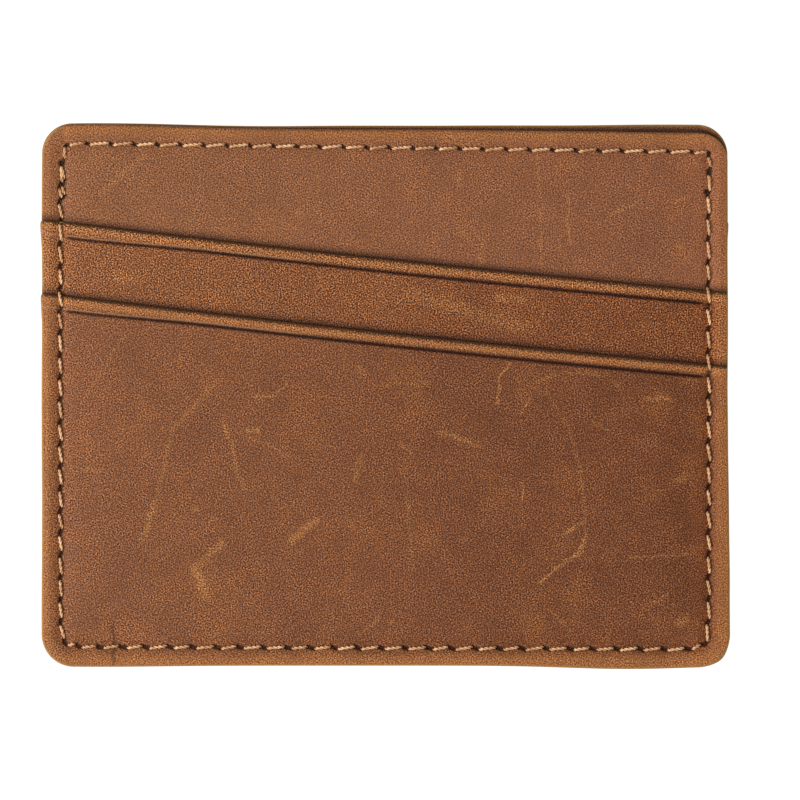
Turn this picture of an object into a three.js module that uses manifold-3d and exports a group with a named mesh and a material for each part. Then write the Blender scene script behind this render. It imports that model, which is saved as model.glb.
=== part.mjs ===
// A slim leather card holder with two slanted card pockets on each face and an open pocket in
// the middle. It lies flat on its back face, with +X to its right, +Y towards the pocket mouths
// and +Z up through its front face. The origin is under its centre, on the surface it lies on.
//
// Each face is built outwards from the mid-plane: lining, interlining, panel, upper pocket and
// lower pocket. The back face is the same stack turned over about the Y axis.

import * as THREE from "three";
import { mergeVertices } from "three/addons/utils/BufferGeometryUtils.js";
import Module from "manifold-3d";

const wasm = await Module();
wasm.setup();

// Outline, in millimetres
const WIDTH = 101.6; // across the lower pockets
const HEIGHT = 80; // from the bottom edge to the back panel's top edge
const SIDE_STEP = 0.15; // each pocket's sides reach this far past the layer beneath it
const TOP_RADIUS = 4.4;
const BOTTOM_RADIUS = 4.7;
const FRONT_FALL = 0.9; // the front panel's top edge drops this much from left to right

// Thickness of each layer and of the empty spaces between them
const PANEL_LEATHER = 0.8;
const POCKET_LEATHER = 0.75;
const INTERLINING = 0.1;
const LINING = 0.15;
const CENTRE_GAP = 0.5; // the empty centre pocket, between the two linings
const POCKET_GAP = 0.05; // an empty card pocket

// Pocket mouths: a shallow parabola that falls to the right
const MOUTH_MIDDLE = 20.2; // height of the upper mouth on the centre line
const MOUTH_SLOPE = -0.107;
const MOUTH_SAG = 0.45; // how far the mouth dips below its own chord
const POCKET_SPACING = 10.9; // from the upper mouth down to the lower one
const MOUTH_STEPS = 12; // straight pieces that make up one mouth

// Creased line pressed into the leather along each mouth
const CREASE_DROP = 1.95; // below the mouth
const CREASE_WIDTH = 0.35;
const CREASE_DEPTH = 0.2;
const CREASE_HALF_LENGTH = 47.2;

// Inner layers stay back from the cut edges
const LINING_INSET = 0.8;
const INTERLINING_INSET = 4;

// Seams
const SEAM_INSET = 2.7; // side seam, from the widest outline
const SEAM_BOTTOM_INSET = 2.6;
const SEAM_CORNER = 1.8; // radius of the seam's bottom corners
const SEAM_TOP = 34.2; // the perimeter seam's two upper ends
const HEM_LEFT = 37.4; // height of the hem row at its left end
const HEM_FALL = 1.4; // the front hem row drops this much from left to right
const HEM_END = 34.9; // the hem row turns down the sides to here
const THREAD_WIDTH = 0.45;
const THREAD_DEPTH = 0.35;
const INNER_THREAD_DEPTH = 0.2; // the hem's inner thread is pressed flatter
const CHANNEL_CLEARANCE = 0.1; // between a thread and the leather around it
const CLIMB = 0.25; // half the length of a thread's climb over a pocket mouth

const CORNER_SEGMENTS = 6;
const BEYOND = 60; // reaches past the outline, for cutting tools
const ABOVE = 1; // reaches above a face, for cutting tools

// Height of each layer's inner and outer face above the mid-plane
const liningIn = CENTRE_GAP / 2;
const interliningIn = liningIn + LINING;
const panelIn = interliningIn + INTERLINING;
const panelOut = panelIn + PANEL_LEATHER;
const upperIn = panelOut + POCKET_GAP;
const upperOut = upperIn + POCKET_LEATHER;
const lowerIn = upperOut + POCKET_GAP;
const lowerOut = lowerIn + POCKET_LEATHER;

const lowerHalfWidth = WIDTH / 2;
const upperHalfWidth = lowerHalfWidth - SIDE_STEP;
const panelHalfWidth = upperHalfWidth - SIDE_STEP;
const seamHalfWidth = lowerHalfWidth - SEAM_INSET;
const top = HEIGHT / 2;
const bottom = -HEIGHT / 2;

const leatherPanel = { color: "#8e5d41", roughness: 0.62, metalness: 0 };
const leatherUpper = { color: "#8c5838", roughness: 0.62, metalness: 0 };
const leatherLower = { color: "#85523a", roughness: 0.62, metalness: 0 };
const liningCloth = { color: "#5a3a26", roughness: 0.9, metalness: 0 };
const interliningCloth = { color: "#d9d2c4", roughness: 0.95, metalness: 0 };
const sewingThread = { color: "#c89a63", roughness: 0.55, metalness: 0 };

// ---- Solids -------------------------------------------------------------------------------

function toSolid(geometry) {
  geometry.deleteAttribute("normal");
  geometry.deleteAttribute("uv");
  const merged = mergeVertices(geometry);
  return new wasm.Manifold(
    new wasm.Mesh({
      numProp: 3,
      vertProperties: merged.attributes.position.array,
      triVerts: merged.index.array,
    }),
  );
}

function toGeometry(solid) {
  const mesh = solid.getMesh();
  const geometry = new THREE.BufferGeometry();
  geometry.setAttribute("position", new THREE.BufferAttribute(mesh.vertProperties, 3));
  geometry.setIndex(new THREE.BufferAttribute(mesh.triVerts, 1));
  const faceted = geometry.toNonIndexed();
  faceted.computeVertexNormals();
  return faceted;
}

// A flat outline given thickness between two heights.
function plate(outline, low, high) {
  const geometry = new THREE.ExtrudeGeometry(outline, {
    depth: high - low,
    bevelEnabled: false,
    curveSegments: CORNER_SEGMENTS,
  });
  geometry.translate(0, 0, low);
  return toSolid(geometry);
}

// ---- Outlines -----------------------------------------------------------------------------

function mouthHeight(x) {
  return MOUTH_MIDDLE + MOUTH_SLOPE * x + MOUTH_SAG * (x / lowerHalfWidth) ** 2;
}

// Points from left to right along the upper mouth, moved up by a distance.
function mouthLine(halfLength, up) {
  const points = [];
  for (let step = 0; step <= MOUTH_STEPS; step += 1) {
    const x = halfLength * ((2 * step) / MOUTH_STEPS - 1);
    points.push(new THREE.Vector2(x, mouthHeight(x) + up));
  }
  return points;
}

// The band between two lines parallel to the mouths.
function mouthBand(halfLength, low, high) {
  const upper = mouthLine(halfLength, high).reverse();
  return new THREE.Shape([...mouthLine(halfLength, low), ...upper]);
}

function addBottomCorners(shape, halfWidth, base, radius) {
  const centre = halfWidth - radius;
  shape.lineTo(-halfWidth, base + radius);
  shape.absarc(-centre, base + radius, radius, Math.PI, 1.5 * Math.PI, false);
  shape.absarc(centre, base + radius, radius, 1.5 * Math.PI, 2 * Math.PI, false);
}

function pocketOutline(halfWidth, drop) {
  const mouth = mouthLine(halfWidth, -drop).reverse();
  const left = mouth[mouth.length - 1];
  const shape = new THREE.Shape();
  shape.moveTo(left.x, left.y);
  addBottomCorners(shape, halfWidth, bottom, BOTTOM_RADIUS);
  for (const point of mouth.slice(0, -1)) {
    shape.lineTo(point.x, point.y);
  }
  return shape;
}

// A panel whose top edge may drop by a little from its left corner to its right one.
function panelOutline(inset, fall) {
  const halfWidth = panelHalfWidth - inset;
  const rise = top - inset;
  const topRadius = Math.max(TOP_RADIUS - inset, 1);
  const bottomRadius = Math.max(BOTTOM_RADIUS - inset, 1);
  const shape = new THREE.Shape();
  shape.moveTo(-halfWidth, rise - topRadius);
  addBottomCorners(shape, halfWidth, bottom + inset, bottomRadius);
  shape.absarc(halfWidth - topRadius, rise - fall - topRadius, topRadius, 0, Math.PI / 2, false);
  shape.absarc(-halfWidth + topRadius, rise - topRadius, topRadius, Math.PI / 2, Math.PI, false);
  return shape;
}

// A ribbon of one width along a line of points, with mitred corners.
function ribbon(points, width) {
  const left = [];
  const right = [];
  points.forEach((point, index) => {
    const before = points[Math.max(index - 1, 0)];
    const after = points[Math.min(index + 1, points.length - 1)];
    const arriving = point.clone().sub(before).normalize();
    const leaving = after.clone().sub(point).normalize();
    const along = arriving.clone().add(leaving).normalize();
    const reach = width / 2 / Math.max(along.dot(arriving), along.dot(leaving));
    const across = new THREE.Vector2(-along.y, along.x).multiplyScalar(reach);
    left.push(point.clone().add(across));
    right.unshift(point.clone().sub(across));
  });
  return new THREE.Shape([...left, ...right]);
}

// ---- Seams --------------------------------------------------------------------------------

// The perimeter seam: down the left side, across the bottom and up the right side.
function perimeterLine(overrun) {
  const path = new THREE.Path();
  path.moveTo(-seamHalfWidth, SEAM_TOP + overrun);
  addBottomCorners(path, seamHalfWidth, bottom + SEAM_BOTTOM_INSET, SEAM_CORNER);
  path.lineTo(seamHalfWidth, SEAM_TOP + overrun);
  return path.getPoints(CORNER_SEGMENTS);
}

// The hem row along a panel's top edge, turned down at both ends.
function hemLine(fall, overrun) {
  return [
    new THREE.Vector2(-seamHalfWidth, HEM_END - overrun),
    new THREE.Vector2(-seamHalfWidth, HEM_LEFT),
    new THREE.Vector2(seamHalfWidth, HEM_LEFT - fall),
    new THREE.Vector2(seamHalfWidth, HEM_END - overrun),
  ];
}

// The skin of a whole face between two depths, which climbs from layer to layer at the mouths.
function faceSkin(sunk, proud, climb) {
  const layer = (low, high, under, over) =>
    plate(mouthBand(BEYOND, low, high), under - sunk, over + proud);
  return layer(-climb, BEYOND, panelOut, panelOut)
    .add(layer(-climb, climb, panelOut, upperOut))
    .add(layer(-POCKET_SPACING - climb, climb, upperOut, upperOut))
    .add(layer(-POCKET_SPACING - climb, -POCKET_SPACING + climb, upperOut, lowerOut))
    .add(layer(-2 * BEYOND, -POCKET_SPACING + climb, lowerOut, lowerOut));
}

function perimeterThread() {
  const line = plate(ribbon(perimeterLine(0), THREAD_WIDTH), 0, lowerOut);
  return line.intersect(faceSkin(THREAD_DEPTH, 0, CLIMB));
}

// The room that the perimeter thread presses into the leather.
function perimeterChannel() {
  const width = THREAD_WIDTH + 2 * CHANNEL_CLEARANCE;
  const line = plate(ribbon(perimeterLine(CHANNEL_CLEARANCE), width), 0, lowerOut + ABOVE);
  const sunk = THREAD_DEPTH + CHANNEL_CLEARANCE;
  return line.intersect(faceSkin(sunk, ABOVE, CLIMB + CHANNEL_CLEARANCE));
}

function hemThread(fall) {
  return plate(ribbon(hemLine(fall, 0), THREAD_WIDTH), panelOut - THREAD_DEPTH, panelOut);
}

function hemInnerThread(fall) {
  const outline = ribbon(hemLine(fall, 0), THREAD_WIDTH);
  return plate(outline, liningIn - INNER_THREAD_DEPTH, liningIn);
}

function hemChannel(fall) {
  const width = THREAD_WIDTH + 2 * CHANNEL_CLEARANCE;
  const low = panelOut - THREAD_DEPTH - CHANNEL_CLEARANCE;
  return plate(ribbon(hemLine(fall, CHANNEL_CLEARANCE), width), low, panelOut + ABOVE);
}

// ---- Layers -------------------------------------------------------------------------------

function panelSolid(fall, hemFall, channel) {
  return plate(panelOutline(0, fall), panelIn, panelOut)
    .subtract(channel)
    .subtract(hemChannel(hemFall));
}

function pocketSolid(halfWidth, drop, low, high, channel) {
  const middle = -drop - CREASE_DROP;
  const crease = mouthBand(
    CREASE_HALF_LENGTH,
    middle - CREASE_WIDTH / 2,
    middle + CREASE_WIDTH / 2,
  );
  return plate(pocketOutline(halfWidth, drop), low, high)
    .subtract(channel)
    .subtract(plate(crease, high - CREASE_DEPTH, high + ABOVE));
}

function liningSolid(fall) {
  return plate(panelOutline(LINING_INSET, fall), liningIn, interliningIn);
}

function interliningSolid(fall) {
  return plate(panelOutline(INTERLINING_INSET, fall), interliningIn, panelIn);
}

// ---- The two faces ------------------------------------------------------------------------

function piece(name, solid, look) {
  const mesh = new THREE.Mesh(toGeometry(solid), new THREE.MeshStandardMaterial(look));
  mesh.name = name;
  return mesh;
}

// One face as seen from outside. The seam's outer thread is the needle's on the front face and
// the bobbin's on the back face.
function face(side, perimeterName, fall, hemFall) {
  const channel = perimeterChannel();
  const half = new THREE.Group();
  half.position.z = lowerOut;
  half.add(
    piece(`${side}_lining`, liningSolid(fall), liningCloth),
    piece(`${side}_interlining`, interliningSolid(fall), interliningCloth),
    piece(`${side}_panel`, panelSolid(fall, hemFall, channel), leatherPanel),
    piece(
      `${side}_upper_pocket`,
      pocketSolid(upperHalfWidth, 0, upperIn, upperOut, channel),
      leatherUpper,
    ),
    piece(
      `${side}_lower_pocket`,
      pocketSolid(lowerHalfWidth, POCKET_SPACING, lowerIn, lowerOut, channel),
      leatherLower,
    ),
    piece(perimeterName, perimeterThread(), sewingThread),
    piece(`${side}_hem_needle_thread`, hemThread(hemFall), sewingThread),
    piece(`${side}_hem_bobbin_thread`, hemInnerThread(hemFall), sewingThread),
  );
  return half;
}

const front = face("front", "perimeter_needle_thread", FRONT_FALL, HEM_FALL);
const back = face("back", "perimeter_bobbin_thread", 0, 0);
back.rotation.y = Math.PI;

const wallet = new THREE.Group();
wallet.add(front, back);

export default wallet;
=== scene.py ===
"""The slim leather wallet, lying on its back face and seen from straight above.

All shapes are worked out in millimetres and placed in metres. Each face of the wallet has its own
flat coordinates: x to the right and y towards the pocket mouths as that face is looked at, and a
height above the mid-plane between the two linings. place() turns these into the frame's.
"""

import math
import random

import bpy
import numpy as np
from mathutils import Euler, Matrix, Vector
from mathutils.geometry import delaunay_2d_cdt


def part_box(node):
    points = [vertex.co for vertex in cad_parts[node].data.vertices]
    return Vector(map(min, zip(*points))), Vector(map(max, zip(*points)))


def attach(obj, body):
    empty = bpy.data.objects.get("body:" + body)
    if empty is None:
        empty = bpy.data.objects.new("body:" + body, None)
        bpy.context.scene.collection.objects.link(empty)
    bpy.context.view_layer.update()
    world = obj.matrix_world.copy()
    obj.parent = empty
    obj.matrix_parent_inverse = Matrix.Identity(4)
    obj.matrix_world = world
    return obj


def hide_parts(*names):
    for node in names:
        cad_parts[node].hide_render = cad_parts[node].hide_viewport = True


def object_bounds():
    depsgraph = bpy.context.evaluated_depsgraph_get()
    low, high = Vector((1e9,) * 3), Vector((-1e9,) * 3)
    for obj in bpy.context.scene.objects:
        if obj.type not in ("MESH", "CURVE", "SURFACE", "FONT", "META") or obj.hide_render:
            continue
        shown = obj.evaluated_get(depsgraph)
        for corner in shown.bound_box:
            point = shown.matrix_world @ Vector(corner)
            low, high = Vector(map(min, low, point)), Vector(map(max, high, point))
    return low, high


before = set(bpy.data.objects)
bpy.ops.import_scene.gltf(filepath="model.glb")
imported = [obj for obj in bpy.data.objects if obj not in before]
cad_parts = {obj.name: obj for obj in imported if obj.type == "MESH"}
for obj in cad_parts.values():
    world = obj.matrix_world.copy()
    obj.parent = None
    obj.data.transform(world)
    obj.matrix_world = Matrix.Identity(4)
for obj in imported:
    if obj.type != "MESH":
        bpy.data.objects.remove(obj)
cad_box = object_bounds()

# ---- Dimensions, in millimetres ----

MM = 0.001


def half_width(node):
    low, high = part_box(node)
    return (high.x - low.x) / 2 / MM


LOWER_HALF = half_width("front_lower_pocket")
UPPER_HALF = LOWER_HALF + 0.05  # the layers' sides line up as they are seen from above
PANEL_HALF = LOWER_HALF + 0.1
MID = (cad_box[0].z + cad_box[1].z) / 2 / MM
TOP = cad_box[1].y / MM
BOTTOM = cad_box[0].y / MM

TOP_RADIUS = 4.4
BOTTOM_RADIUS = 4.7
MOUTH_CORNER = 0.7  # radius of a pocket's two upper corners
MOUTH_FLARE = 0.22  # how far a pocket's upper left corner stands out past its side

# The upper pocket's mouth, which the lower pocket repeats, and the crease under it
MOUTH_MIDDLE = 20.2
MOUTH_SLOPE = -0.107
MOUTH_SAG = 0.45
POCKET_SPACING = 10.9
CREASE_DROP = 1.9
CREASE_DEPTH = 0.24
CREASE_SPREAD = 0.14
CREASE_END = 47.6
BAND_SWELL = 0.05  # the band above the crease

# Thickness of the layers, flat in the middle and pressed under the seams
PANEL_LEATHER = (0.8, 0.76)
POCKET_LEATHER = (0.75, 0.71)
POCKET_GAP = (0.05, 0.01)
HALF_CENTRE_GAP = (0.25, 0.02)
INTERLINING = 0.1
LINING = 0.15
LINING_INSET = 0.8
INTERLINING_INSET = 4
CLOTH_GAP = 0.01  # a cloth stays this far inside its own two levels

# How the sewn edges press the layers together
PRESS_REACH = 11  # they flatten the stack this far in
CLOSED_GAP = 0.03  # past the lining, the leather is this far from the mid-plane
CLOSING = (0.4, 1.1)  # and it closes over this stretch, measured in from the edge
PINCH = 0.085  # the perimeter seam squeezes the stack by this share
PINCH_SPREAD = (1.15, 0.95)  # outside and inside the seam
VALLEY = (0.13, 0.42)  # depth and spread of the valley under a row of stitches
HOLLOW = (0.1, 1.3)  # and of the hollow around it

SEAM_INSET = 2.7
SEAM_SIDE = 48.0
HEM_LEFT = 37.4
HOLE_DEPTH = 0.42

EDGE_ROUND = 0.4  # radius of the leather's outer corner
EDGE_ROLL = 0.04
EDGE_ROLL_REACH = 0.9
CORE_INSET = 5  # rings of points follow the outline as far in as this

# Wear along the cut edges
TOP_SWELL = 0.38  # the panels' top edges bow up near one end
WAVE = 0.045  # the sides are slightly wavy
SIDE_SPREAD = 0.25  # the right side leans out towards the bottom
FOOT_SPREAD = 0.08
CORNER_BULGE = 0.6  # the bottom right corner is pushed out
BASE_SAG = (0.06, 0.5, 0.18)  # the bottom edge: all along, near its right end and near its left end

LOWER, UPPER, PANEL = "lower_pocket", "upper_pocket", "panel"

# The top edge and the top row fall to the right, and lift is how far an empty mouth stands open
FRONT = {"name": "front", "turned": False, "phase": 0.0, "lift": 0.14}
FRONT.update({"fall": 0.9, "hem_fall": 1.35, "raised": -0.14, "right_swell": 0.0})
BACK = {"name": "back", "turned": True, "phase": 2.4, "lift": 0.0}
BACK.update({"fall": 0.0, "hem_fall": 0.0, "raised": 0.06, "right_swell": 0.2})

# ---- Fields over a face ----


def smooth(low, high, value):
    """0 below low, 1 above high, with a soft step between."""
    share = np.clip((value - low) / (high - low), 0, 1)
    return share * share * (3 - 2 * share)


def mix(ends, share):
    """From the first of two values to the second."""
    return ends[0] + (ends[1] - ends[0]) * share


def bell(distance, width):
    """1 at no distance, falling away smoothly on both sides."""
    return np.exp(-0.5 * (distance / width) ** 2)


def mouth_height(x):
    """The upper pocket's mouth, a shallow curve that falls to the right."""
    return MOUTH_MIDDLE + MOUTH_SLOPE * x + MOUTH_SAG * (x / LOWER_HALF) ** 2


def panel_top(face, x):
    """The panel's top edge. It falls to the right and bows up near its ends."""
    share = (x + PANEL_HALF) / (2 * PANEL_HALF)
    wander = 0.04 * np.sin(x / 9.0 + face["phase"]) + 0.02 * np.sin(x / 3.7)
    across = x * (-1 if face["turned"] else 1)
    swell = TOP_SWELL * bell(across + 41, 9) + face["right_swell"] * bell(across - 40, 11)
    return TOP + face["raised"] - face["fall"] * share + swell + wander


def hem_height(face, x):
    """The height of the top row of stitches."""
    return HEM_LEFT - face["hem_fall"] * (x + SEAM_SIDE) / (2 * SEAM_SIDE)


def rim_distance(x, y):
    """Distance in from the sewn edges: the two sides and the bottom."""
    across = LOWER_HALF - np.abs(x)
    up = y - BOTTOM
    corner = BOTTOM_RADIUS - np.hypot(BOTTOM_RADIUS - across, BOTTOM_RADIUS - up)
    near_corner = (across < BOTTOM_RADIUS) & (up < BOTTOM_RADIUS)
    return np.where(near_corner, corner, np.minimum(across, up))


def slump(face, x, y):
    """Slow waves of the soft leather, always towards the mid-plane."""
    phase = face["phase"]
    wave = np.sin(x / 17 + 0.4 * y / 11 + phase) + np.sin(y / 13 - x / 29 + 1.7 * phase)
    ripple = np.sin(x / 6.1 + y / 7.3 + phase) * np.sin(y / 5.2 - x / 11.0)
    return 0.035 * (wave - 2) + 0.012 * (ripple - 1)


def mouth_lift(face, x, below):
    """An empty pocket's mouth stands off the layer beneath it, most in the middle."""
    across = np.cos(np.clip(x / SEAM_SIDE, -1, 1) * math.pi / 2) ** 2
    return face["lift"] * across * np.exp(-np.maximum(below, 0) / 7)


def levels(face, x, y):
    """The inner and outer height of every layer above the mid-plane, pressed together by the seams."""
    rim = rim_distance(x, y)
    press = 1 - smooth(SEAM_INSET, PRESS_REACH, rim)
    height = mix(HALF_CENTRE_GAP, press)
    made = {"lining": (height, height + LINING)}
    height = height + LINING
    height = height - (height - CLOSED_GAP) * (1 - smooth(*CLOSING, rim))
    made["interlining"] = (height, height + INTERLINING)
    height = height + INTERLINING * smooth(INTERLINING_INSET - 0.8, INTERLINING_INSET, rim)
    made[PANEL] = (height, height + mix(PANEL_LEATHER, press))
    gap = mix(POCKET_GAP, press)
    thickness = mix(POCKET_LEATHER, press)
    below_upper = mouth_height(x) - y
    height = made[PANEL][1] + gap + mouth_lift(face, x, below_upper)
    made[UPPER] = (height, height + thickness)
    height = made[UPPER][1] + gap + mouth_lift(face, x, below_upper - POCKET_SPACING)
    made[LOWER] = (height, height + thickness)
    from_seam = rim - (LOWER_HALF - SEAM_SIDE)
    pinch = bell(from_seam, np.where(from_seam < 0, *PINCH_SPREAD))
    pinch = pinch * smooth(hem_height(face, x) + 0.5, hem_height(face, x) - 0.5, y)
    scale = 1 + slump(face, x, y) * (1 - 0.6 * press) / MID - PINCH * pinch
    return {name: (low * scale, high * scale) for name, (low, high) in made.items()}


# ---- Stitch holes ----


def row(start, end, count):
    """Holes at equal steps along a straight row."""
    return [tuple(Vector(start).lerp(Vector(end), step / (count - 1))) for step in range(count)]


def across_the_body(holes):
    """The same holes as seen from the other face."""
    return [(-x, y) for x, y in holes]


PERIMETER = [
    *[(-47.7, 29.3), (-47.65, 31.5), (-47.8, 34.5), (-48.1, 31.2), (-48.15, 28.9)],
    *row((-48.05, 25.8), (-47.95, -33.5), 19),
    (-47.45, -36.6),
    (-45.3, -37.2),
    *row((-42.26, -37.25), (44.85, -37.6), 26),
    (47.5, -36.9),
    *row((48.0, -33.5), (48.05, 29.9), 20),
    (48.35, 33.1),
    (47.95, 30.2),
]
FRONT_HEM = [
    (-47.8, 34.7),
    (-47.15, 37.25),
    *row((-44.03, 37.35), (45.6, 36.1), 27),
    (48.2, 35.95),
    (48.2, 33.3),
]
BACK_HEM = [
    (-47.8, 34.3),
    (-47.2, 37.2),
    *row((-44.2, 37.4), (44.2, 37.4), 27),
    (47.2, 37.2),
    (47.8, 34.3),
]

WORN = [(-47.85, 34.5), (48.2, 33.2), (47.85, 30.2)]  # the holes where the front's two rows meet
HOLE_RADIUS = 0.38
HEM_HOLE_RADIUS = 0.31
WORN_HOLE_RADIUS = 0.62
HOLE_REACH = 3  # no slit is as long as this

# Each row's stitches: the gap between one stitch and the next, and how far each leans across
SIDE_STITCH = (1.0, 0.17)
BOTTOM_STITCH = (1.1, 0.16)
HEM_STITCH = (0.75, 0.15)


def stitches(holes, seed):
    """Where each stitch shows, as its two ends. It leans across its row."""
    chance = random.Random(seed)
    made = []
    for here, there in zip(holes, holes[1:]):
        start = Vector(here)
        end = Vector(there)
        along = (end - start).normalized()
        if abs(along.x) < abs(along.y):
            gap, lean = SIDE_STITCH
        elif start.y < 0:
            gap, lean = BOTTOM_STITCH
        else:
            gap, lean = HEM_STITCH
        gap = min(gap * chance.uniform(0.8, 1.15), 0.5 * (end - start).length)
        lean = lean * chance.uniform(0.6, 1.3)
        across = Vector((-along.y, along.x)) * lean
        made.append((start + along * gap / 2 - across, end - along * gap / 2 + across))
    return made


def slits(rows):
    """The holes as short slits, each from one stitch's end through its hole to the next one's start."""
    made = []
    for holes, shown, radius in rows:
        spots = [Vector(hole) for hole in holes]
        for spot, (start, _) in zip(spots, shown):
            made.append((spot, start, radius))
        for spot, (_, end) in zip(spots[1:], shown):
            made.append((end, spot, radius))
    return made


def worn_holes(spots):
    return [(Vector(spot), Vector(spot), WORN_HOLE_RADIUS) for spot in spots]


def hole_mask(x, y, holes):
    """1 inside a hole and 0 away from all of them."""
    mask = np.zeros_like(x)
    for start, end, radius in holes:
        run = end - start
        near = (np.abs(x - start.x) < HOLE_REACH) & (np.abs(y - start.y) < HOLE_REACH)
        px = x[near] - start.x
        py = y[near] - start.y
        share = np.clip((px * run.x + py * run.y) / max(run.length_squared, 1e-6), 0, 1)
        distance = np.hypot(px - share * run.x, py - share * run.y)
        mask[near] = np.maximum(mask[near], 1 - smooth(0.35 * radius, radius, distance))
    return mask


def seam_valley(face, x, y):
    """How far the rows of stitches pull the leather down."""
    rim = rim_distance(x, y) - (LOWER_HALF - SEAM_SIDE)
    hem = y - hem_height(face, x)
    beside = smooth(0.5, -0.5, hem)
    between = smooth(SEAM_SIDE + 0.5, SEAM_SIDE - 0.5, np.abs(x))
    pulled = 0
    for depth, spread_out in (VALLEY, HOLLOW):
        pulled = pulled + depth * np.maximum(bell(rim, spread_out) * beside, bell(hem, spread_out) * between)
    return pulled


# ---- Leather outlines ----

CORNER_WEIGHT = math.sqrt(0.5)  # makes a rational curve of second degree a quarter of a circle


def line(start, end, shares):
    """Points at the given shares of a straight line."""
    shares = shares[:, None]
    return np.array(start) * (1 - shares) + np.array(end) * shares


def corner(start, middle, end, count):
    """A rounded corner between two tangent points, without its last point."""
    share = (np.arange(count) / count)[:, None]
    first = (1 - share) ** 2
    second = 2 * CORNER_WEIGHT * share * (1 - share)
    third = share**2
    total = first + second + third
    return (first * np.array(start) + second * np.array(middle) + third * np.array(end)) / total


def spread(length, fine_length, fine, coarse):
    """Shares of a line's length: fine steps at its start and coarse ones after."""
    fine_length = min(max(fine_length, 0), length)
    first = np.linspace(0, fine_length, max(round(fine_length / fine), 1), endpoint=False)
    rest = np.linspace(fine_length, length, max(round((length - fine_length) / coarse), 1), endpoint=False)
    return np.concatenate([first, rest]) / length


class Outline:
    """A piece's edge and the lines inside it. Every line has the same points in the same order."""

    def __init__(self, half, base, top, top_radius, covered_below, fine, turned, flare=0.0):
        self.half = half
        self.turned = turned
        self.base = base
        self.top = top
        self.top_radius = top_radius
        self.flare = flare
        # Points lie close together only where no other layer covers the side
        coarse = 5 * fine
        left = float(top(-half)) - base
        right = float(top(half)) - base
        left_shown = left - (covered_below(-half) - base)
        right_shown = right - (covered_below(half) - base)
        low_step = fine if left_shown >= left else coarse
        self.left_shares = spread(left, left_shown, fine, coarse)
        self.right_shares = 1 - spread(right, right_shown, fine, coarse)[::-1]
        self.right_shares = np.concatenate([[0], self.right_shares[:-1]])
        self.low_shares = spread(2 * half, 0, fine, low_step)
        self.top_shares = spread(2 * half, 2 * half, fine if top_radius > 2 else 2 * fine, fine)
        self.corner_count = max(round(1.57 * BOTTOM_RADIUS / max(fine, 0.25)), 6)

    def ring(self, inset):
        """The outline moved in by an inset, anticlockwise from the top of the left side."""
        half = self.half - inset
        base = self.base + inset
        high = max(self.top_radius - inset, 1.2 if self.top_radius > 2 else 0.25)
        low = max(BOTTOM_RADIUS - inset, 1.2)

        def edge(x, down=0):
            return (x, float(self.top(x)) - inset - down)

        count = self.corner_count
        left_end = edge(-half, high)
        right_end = edge(half, high)
        left = line(left_end, (-half, base + low), self.left_shares)
        low_left = corner((-half, base + low), (-half, base), (-half + low, base), count)
        bottom = line((-half + low, base), (half - low, base), self.low_shares)
        low_right = corner((half - low, base), (half, base), (half, base + low), count)
        right = line((half, base + low), right_end, self.right_shares)
        top_right = corner(right_end, edge(half), edge(half - high), count)
        across = (half - high) * (1 - 2 * self.top_shares)
        top = np.column_stack([across, self.top(across) - inset])
        top_left = corner(edge(high - half), edge(-half), left_end, count)
        points = np.concatenate([left, low_left, bottom, low_right, right, top_right, top, top_left])
        return self.bend(points)

    def bend(self, points):
        """Flares a mouth's left corner and wears the edges out of true, most at the bottom right.

        The wear is placed as the front shows it, and the back's is turned round to match.
        """
        x, y = points[:, 0], points[:, 1]
        below = self.top(x) - y
        near_left = smooth(-self.half + 9, -self.half, x)
        moved = x - self.flare * near_left * (1 - smooth(0.5, 5.5, below))
        moved = moved + WAVE * np.sin(y / 5.1 + self.half * 9) * smooth(8, 0, self.half - np.abs(x))
        side = -1 if self.turned else 1
        near_right = smooth(self.half - 9, self.half, side * x)
        moved = moved + SIDE_SPREAD * side * smooth(4, -33, y) * near_right
        bulge = CORNER_BULGE * bell(side * x - 51, 1.6) * bell(y - self.base + 0.3, 1.6)
        moved = moved + side * (bulge + FOOT_SPREAD * smooth(-20, -28, y) * near_right)
        sag = BASE_SAG[0] + BASE_SAG[1] * bell(side * x - 36, 9) + BASE_SAG[2] * bell(side * x + 42, 9)
        return np.column_stack([moved, y - bulge - sag * smooth(self.base + 9, self.base, y)])

    def inside(self, inset, step):
        """A grid of points that fills the innermost ring."""
        half = self.half - inset - 0.5 * step
        xs = np.linspace(-half, half, max(round(2 * half / step), 2))
        low = self.base + inset + 0.5 * step
        columns = []
        for x in xs:
            high = float(self.top(x)) - inset - 0.5 * step
            ys = np.linspace(low, high, max(round((high - low) / step), 2))
            columns.append(np.column_stack([np.full_like(ys, x), ys]))
        return np.concatenate(columns)


# ---- Meshes ----

# Rings of points lie this far in from the edge, close together where the surface bends
EDGE_INSETS = [0, 0.03, 0.08, 0.15, 0.24, 0.34, 0.5, 0.7, 0.9, 1.1, 1.35, 1.6]
CREASE_INSETS = [1.7, 1.77, 1.83, 1.89, 1.95, 2.01, 2.07, 2.14, 2.22]
SEAM_INSETS = [2.32, 2.42, 2.52, 2.62, 2.72, 2.82, 2.92, 3.02, 3.12, 3.24, 3.4, 3.6, 3.85, 4.2, CORE_INSET]
OUTER_INSETS = EDGE_INSETS + CREASE_INSETS + SEAM_INSETS
INNER_ROUND = 0.06  # radius of the leather's inner corner
INNER_INSETS = [0, INNER_ROUND, 0.3, 1, 2.4, CORE_INSET]
CLOTH_INSETS = [0, 0.5, 1.5, 3.5]
OUTER_STEP = 0.8  # the grid of points inside the rings
INNER_STEP = 2.5
CLOTH_STEP = 2
FAR = 9.0  # a mask's distance where what it measures isn't near
INNER_RIM = 5.0  # and the inner face's distance from the sewn edges, which ends the pale margin


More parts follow.
